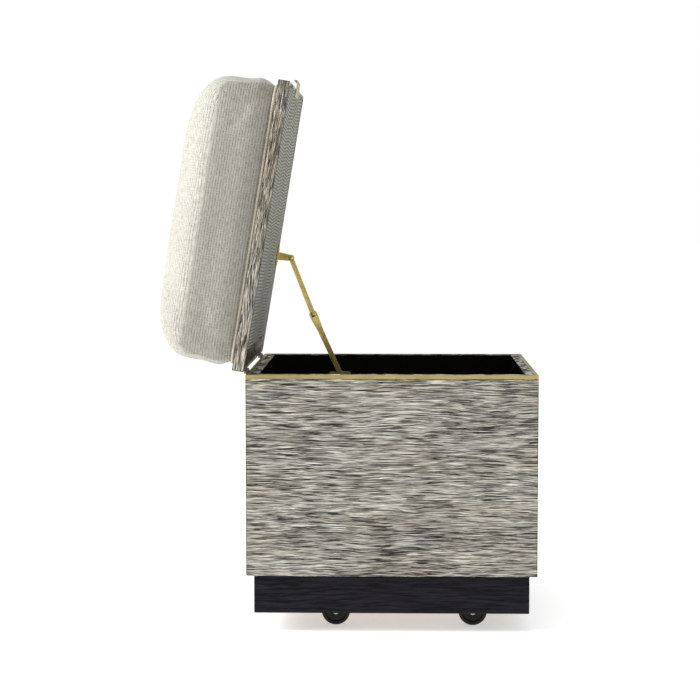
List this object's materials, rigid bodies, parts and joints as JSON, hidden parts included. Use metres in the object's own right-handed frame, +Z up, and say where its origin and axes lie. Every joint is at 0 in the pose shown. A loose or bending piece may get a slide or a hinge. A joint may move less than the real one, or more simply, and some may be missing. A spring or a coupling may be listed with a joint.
{
  "type": "ottoman with storage",
  "caption": "Square upholstered storage ottoman on swivel casters, with a hinged cushioned lid held open by a folding stay.",
  "frame": {"origin": "on the floor, under the middle of the whole object as it stands with its lid open", "axes": "+Z up; the front with the pull tab faces -Y and the hinges are at +Y; the folding stay is on the +X side"},
  "size_m": [0.45, 0.5842, 0.8637],
  "materials": {
    "veneer": "cerused grey oak veneer, open grain",
    "lid_edge": "cerused grey oak lipping, open grain",
    "brass_trim": "satin",
    "plywood": "sealed plywood",
    "box_lining": "black felt on liner board",
    "plinth": "blue-black stained wood, satin",
    "caster_metal": "black zinc",
    "bright_steel": "brushed",
    "caster_wheel": "matt black",
    "hinge_metal": "dark bronzed",
    "stay_brass": "polished satin",
    "tab_brass": "polished satin",
    "lid_board": "dark stained",
    "lid_panel": "grey-green embossed lining cloth",
    "piping": "cream cloth welt",
    "foam": "open-cell foam",
    "upholstery": "ivory slub linen weave"
  },
  "bodies": {
    "box": {"wall_front": "veneer", "wall_right": "veneer", "wall_rear": "veneer", "wall_left": "veneer", "brass_strip_front": "brass_trim", "brass_strip_right": "brass_trim", "brass_strip_rear": "brass_trim", "brass_strip_left": "brass_trim", "bottom_board": "plywood", "lining_front": "box_lining", "lining_right": "box_lining", "lining_rear": "box_lining", "lining_left": "box_lining", "lining_floor": "box_lining", "plinth_rail_front": "plinth", "plinth_rail_right": "plinth", "plinth_rail_rear": "plinth", "plinth_rail_left": "plinth", "caster_rail_front": "plywood", "caster_rail_rear": "plywood", "caster_plate_front_left": "caster_metal", "caster_plate_front_right": "caster_metal", "caster_plate_rear_left": "caster_metal", "caster_plate_rear_right": "caster_metal", "hinge_box_leaf_left": "hinge_metal", "hinge_box_leaf_right": "hinge_metal", "hinge_pin_left": "bright_steel", "hinge_pin_right": "bright_steel", "stay_foot_bracket": "stay_brass", "stay_foot_rivet": "stay_brass"},
    "lid": {"lid_board": "lid_board", "lid_lipping_front": "lid_edge", "lid_lipping_right": "lid_edge", "lid_lipping_rear": "lid_edge", "lid_lipping_left": "lid_edge", "lid_panel": "lid_panel", "piping": "piping", "foam_core": "foam", "cushion": "upholstery", "pull_tab": "tab_brass", "hinge_lid_leaf_left": "hinge_metal", "hinge_lid_leaf_right": "hinge_metal", "stay_lid_bracket": "stay_brass", "stay_lid_rivet": "stay_brass"},
    "stay_lower": {"stay_lower_arm": "stay_brass"},
    "stay_upper": {"stay_upper_arm": "stay_brass", "stay_elbow_rivet": "stay_brass"},
    "caster_front_left": {"caster_fork_front_left": "caster_metal", "caster_axle_front_left": "bright_steel"},
    "wheel_front_left": {"caster_wheel_front_left": "caster_wheel"},
    "caster_front_right": {"caster_fork_front_right": "caster_metal", "caster_axle_front_right": "bright_steel"},
    "wheel_front_right": {"caster_wheel_front_right": "caster_wheel"},
    "caster_rear_left": {"caster_fork_rear_left": "caster_metal", "caster_axle_rear_left": "bright_steel"},
    "wheel_rear_left": {"caster_wheel_rear_left": "caster_wheel"},
    "caster_rear_right": {"caster_fork_rear_right": "caster_metal", "caster_axle_rear_right": "bright_steel"},
    "wheel_rear_right": {"caster_wheel_rear_right": "caster_wheel"}
  },
  "joints": [
    {"name": "lid_hinge", "type": "hinge", "parent": "box", "child": "lid", "pos_m": [0, 0.16082, 0.403], "axis": [1, 0, 0], "range_deg": [0, 80.7]},
    {"name": "stay_foot_pivot", "type": "hinge", "parent": "box", "child": "stay_lower", "pos_m": [0.19765, 0.02082, 0.362], "axis": [1, 0, 0], "range_deg": [0, 143.5]},
    {"name": "stay_lid_pivot", "type": "hinge", "parent": "lid", "child": "stay_upper", "pos_m": [0.19475, 0.10937, 0.57059], "axis": [1, 0, 0], "range_deg": [-103.15, 0]},
    {"name": "swivel_front_left", "type": "hinge", "parent": "box", "child": "caster_front_left", "pos_m": [-0.15, -0.17508, 0.05], "axis": [0, 0, 1], "continuous": true},
    {"name": "roll_front_left", "type": "hinge", "parent": "caster_front_left", "child": "wheel_front_left", "pos_m": [-0.15, -0.19508, 0.0225], "axis": [1, 0, 0], "continuous": true},
    {"name": "swivel_front_right", "type": "hinge", "parent": "box", "child": "caster_front_right", "pos_m": [0.15, -0.17508, 0.05], "axis": [0, 0, 1], "continuous": true},
    {"name": "roll_front_right", "type": "hinge", "parent": "caster_front_right", "child": "wheel_front_right", "pos_m": [0.15, -0.19508, 0.0225], "axis": [1, 0, 0], "continuous": true},
    {"name": "swivel_rear_left", "type": "hinge", "parent": "box", "child": "caster_rear_left", "pos_m": [-0.15, 0.04092, 0.05], "axis": [0, 0, 1], "continuous": true},
    {"name": "roll_rear_left", "type": "hinge", "parent": "caster_rear_left", "child": "wheel_rear_left", "pos_m": [-0.15, 0.02092, 0.0225], "axis": [1, 0, 0], "continuous": true},
    {"name": "swivel_rear_right", "type": "hinge", "parent": "box", "child": "caster_rear_right", "pos_m": [0.15, 0.04092, 0.05], "axis": [0, 0, 1], "continuous": true},
    {"name": "roll_rear_right", "type": "hinge", "parent": "caster_rear_right", "child": "wheel_rear_right", "pos_m": [0.15, 0.02092, 0.0225], "axis": [1, 0, 0], "continuous": true}
  ],
  "couplings": [
    {"joint": "stay_foot_pivot", "follows": "lid_hinge", "ratio": 1.7776},
    {"joint": "stay_lid_pivot", "follows": "lid_hinge", "ratio": -1.2776}
  ]
}
